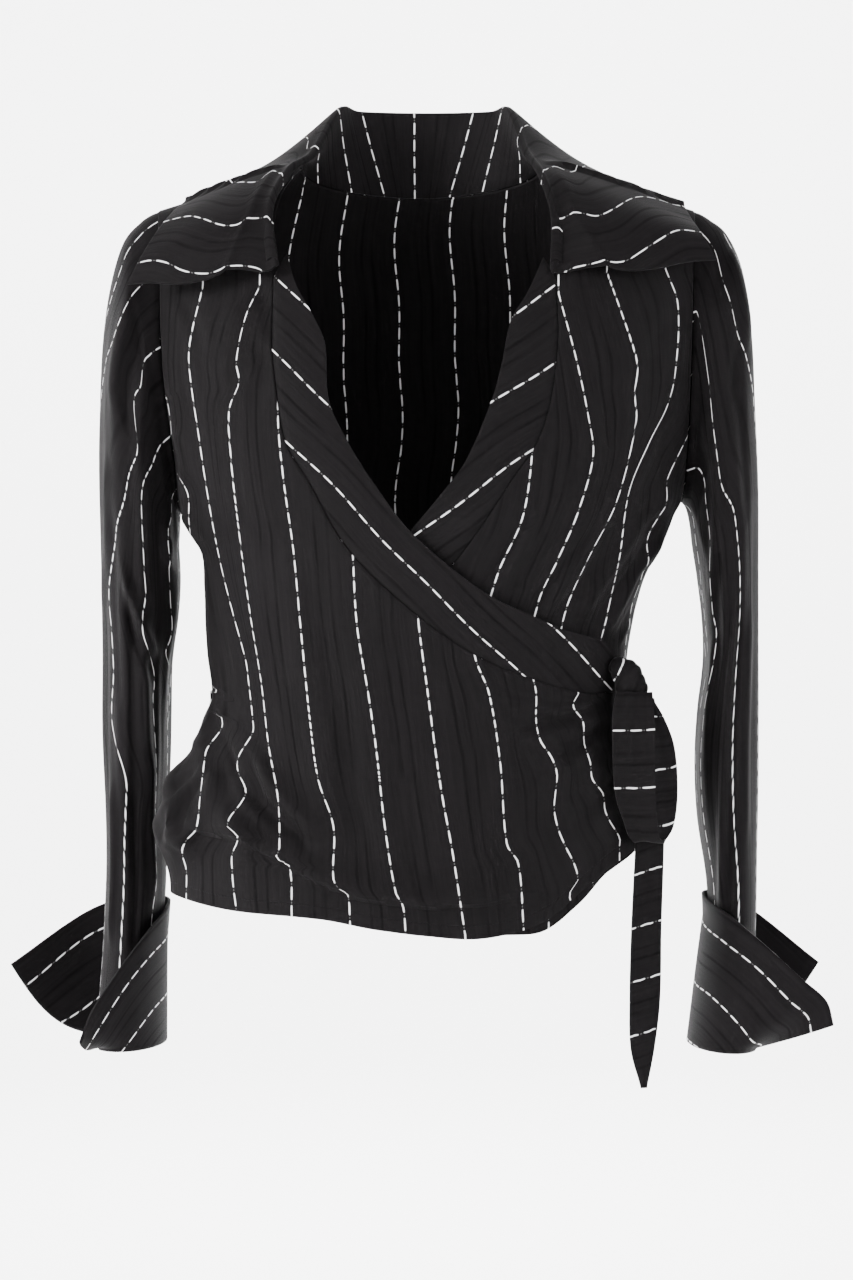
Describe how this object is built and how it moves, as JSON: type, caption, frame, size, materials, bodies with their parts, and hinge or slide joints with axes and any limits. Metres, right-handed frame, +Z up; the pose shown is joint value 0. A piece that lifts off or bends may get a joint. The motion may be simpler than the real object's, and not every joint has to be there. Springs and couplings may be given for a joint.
{
  "type": "wrap top",
  "caption": "Long-sleeved wrap top in dark cloth with dashed pinstripes, with a wide collar, turned-back split cuffs and a tie knotted at the side of the waist, in its worn form.",
  "frame": {"origin": "midway between the shoulders, at the height where they carry the garment", "axes": "+X to the wearer's left, -Y to the front, +Z up"},
  "size_m": [0.595, 0.2415, 0.7067],
  "materials": {
    "striped_cloth": "soft dull crepe with pale dashed pinstripes"
  },
  "bodies": {
    "root": {"back": "striped_cloth", "front_right": "striped_cloth", "front_left": "striped_cloth", "band_right": "striped_cloth", "band_left": "striped_cloth", "collar": "striped_cloth", "sleeve_right": "striped_cloth", "sleeve_left": "striped_cloth", "cuff_right": "striped_cloth", "cuff_left": "striped_cloth", "tie_back": "striped_cloth", "tie_knot": "striped_cloth", "tie_loop": "striped_cloth", "tie_tail": "striped_cloth"}
  },
  "joints": []
}
